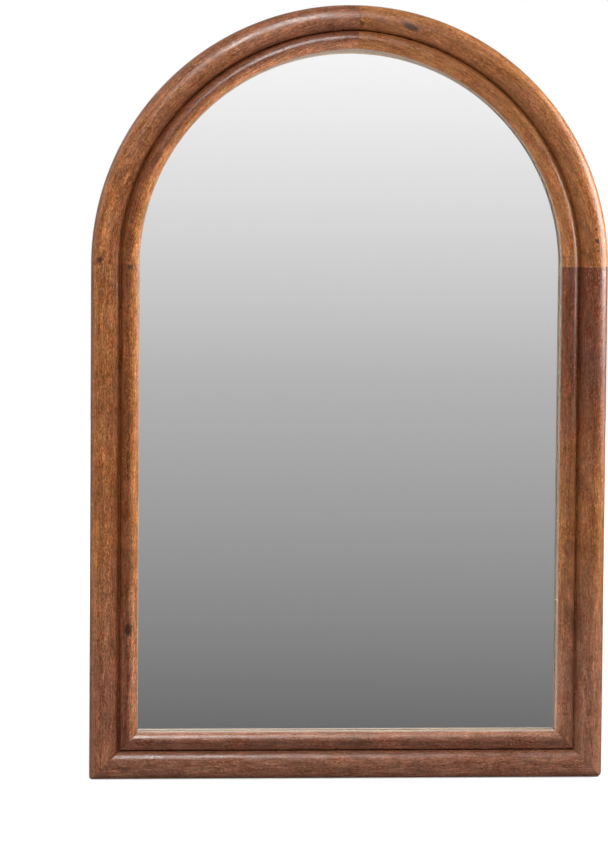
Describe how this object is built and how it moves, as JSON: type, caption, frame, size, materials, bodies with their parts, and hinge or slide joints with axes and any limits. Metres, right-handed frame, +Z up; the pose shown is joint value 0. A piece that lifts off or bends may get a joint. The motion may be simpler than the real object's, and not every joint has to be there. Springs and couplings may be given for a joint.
{
  "type": "bathroom mirror",
  "caption": "Arched wall mirror in a solid wood frame with a double-roll moulding, a screwed backing board and swinging D-ring hangers.",
  "frame": {"origin": "on the wall, on the mirror's middle line, at the height of the two hanger rings", "axes": "+Z up, +X to the right of someone who looks into the mirror, +Y from the mirror towards the wall"},
  "size_m": [0.61, 0.042, 0.9129],
  "materials": {
    "stile_wood_left": "brown stain under satin lacquer",
    "stile_wood_right": "brown stain under satin lacquer",
    "rail_wood": "brown stain under satin lacquer",
    "arch_wood_left": "brown stain under satin lacquer",
    "arch_wood_right": "brown stain under satin lacquer",
    "silvered_glass": "polished float glass, silvered behind",
    "white_foam": "matte",
    "fibreboard": "raw sanded fibreboard",
    "zinc_plated_steel": "zinc plate",
    "black_rubber": "matte",
    "beech": "raw"
  },
  "bodies": {
    "frame": {"left_stile": "stile_wood_left", "right_stile": "stile_wood_right", "bottom_rail": "rail_wood", "left_arch": "arch_wood_left", "right_arch": "arch_wood_right", "mirror_glass": "silvered_glass", "foam_sheet": "white_foam", "backing_board": "fibreboard", "board_screw_left_1": "zinc_plated_steel", "board_screw_left_2": "zinc_plated_steel", "board_screw_left_3": "zinc_plated_steel", "board_screw_right_1": "zinc_plated_steel", "board_screw_right_2": "zinc_plated_steel", "board_screw_right_3": "zinc_plated_steel", "board_screw_bottom_1": "zinc_plated_steel", "board_screw_bottom_2": "zinc_plated_steel", "board_screw_bottom_3": "zinc_plated_steel", "board_screw_arch_left_1": "zinc_plated_steel", "board_screw_arch_left_2": "zinc_plated_steel", "board_screw_arch_right_1": "zinc_plated_steel", "board_screw_arch_right_2": "zinc_plated_steel", "hanger_strap_left": "zinc_plated_steel", "hanger_strap_right": "zinc_plated_steel", "hanger_screw_left_1": "zinc_plated_steel", "hanger_screw_left_2": "zinc_plated_steel", "hanger_screw_right_1": "zinc_plated_steel", "hanger_screw_right_2": "zinc_plated_steel", "wall_pad_lower_left": "black_rubber", "wall_pad_lower_right": "black_rubber", "wall_pad_upper_left": "black_rubber", "wall_pad_upper_right": "black_rubber", "left_spring_dowel_outer": "beech", "left_spring_dowel_inner": "beech", "right_spring_dowel_outer": "beech", "right_spring_dowel_inner": "beech", "left_mitre_dowel_outer": "beech", "left_mitre_dowel_inner": "beech", "right_mitre_dowel_outer": "beech", "right_mitre_dowel_inner": "beech", "apex_dowel_outer": "beech", "apex_dowel_inner": "beech"},
    "ring_left": {"hanger_ring_left": "zinc_plated_steel"},
    "ring_right": {"hanger_ring_right": "zinc_plated_steel"}
  },
  "joints": [
    {"name": "ring_left_swing", "type": "hinge", "parent": "frame", "child": "ring_left", "pos_m": [-0.2715, -0.00375, 0], "axis": [0, 0, 1], "range_deg": [0, 160]},
    {"name": "ring_right_swing", "type": "hinge", "parent": "frame", "child": "ring_right", "pos_m": [0.2715, -0.00375, 0], "axis": [0, 0, -1], "range_deg": [0, 160]}
  ]
}
